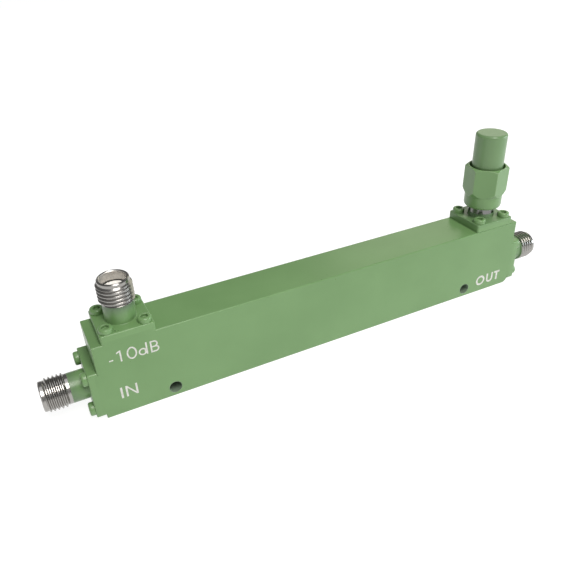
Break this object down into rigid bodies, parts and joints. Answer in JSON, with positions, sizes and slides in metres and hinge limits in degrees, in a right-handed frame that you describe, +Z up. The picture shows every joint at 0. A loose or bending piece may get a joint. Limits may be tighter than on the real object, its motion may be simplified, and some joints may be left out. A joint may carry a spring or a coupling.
{
  "type": "directional coupler",
  "caption": "Coaxial directional coupler: slim green-painted metal block with threaded flanged jacks on its ends and top, and a termination screwed on to the isolated port.",
  "frame": {"origin": "on the bottom face, at the centre of the overall length and depth, under the plane of the port axes", "axes": "+X along the block from the input to the output, +Y to the rear, where the cover is, +Z up to the ports on top"},
  "size_m": [0.1144, 0.0096, 0.036],
  "materials": {
    "green_paint": "satin, light green, over aluminium block and cover, steel screws, nut and load body",
    "bare_steel": "passivated stainless steel, turned; green paint on flange and lower barrel",
    "ptfe": "matt, off-white",
    "gold": "gold-plated beryllium copper, satin",
    "copper": "bright etched copper",
    "board": "matt laminate",
    "gasket": "matt",
    "ceramic": "matt ceramic rod with a resistive film"
  },
  "bodies": {
    "root": {"housing": "green_paint", "rear_cover": "green_paint", "cover_screws": "green_paint", "front_board": "board", "rear_board": "board", "main_line": "copper", "coupled_line": "copper", "input_shell": "bare_steel", "input_insulator": "ptfe", "input_contact": "gold", "input_flange_screws": "green_paint", "output_shell": "bare_steel", "output_insulator": "ptfe", "output_contact": "gold", "output_flange_screws": "green_paint", "coupled_shell": "bare_steel", "coupled_insulator": "ptfe", "coupled_contact": "gold", "coupled_flange_screws": "green_paint", "isolated_shell": "bare_steel", "isolated_insulator": "ptfe", "isolated_contact": "gold", "isolated_flange_screws": "green_paint", "coupling_nut": "green_paint", "load_body": "green_paint", "retaining_ring": "gold", "load_gasket": "gasket", "load_insulator": "ptfe", "load_contact": "gold", "load_resistor": "ceramic"}
  },
  "joints": []
}
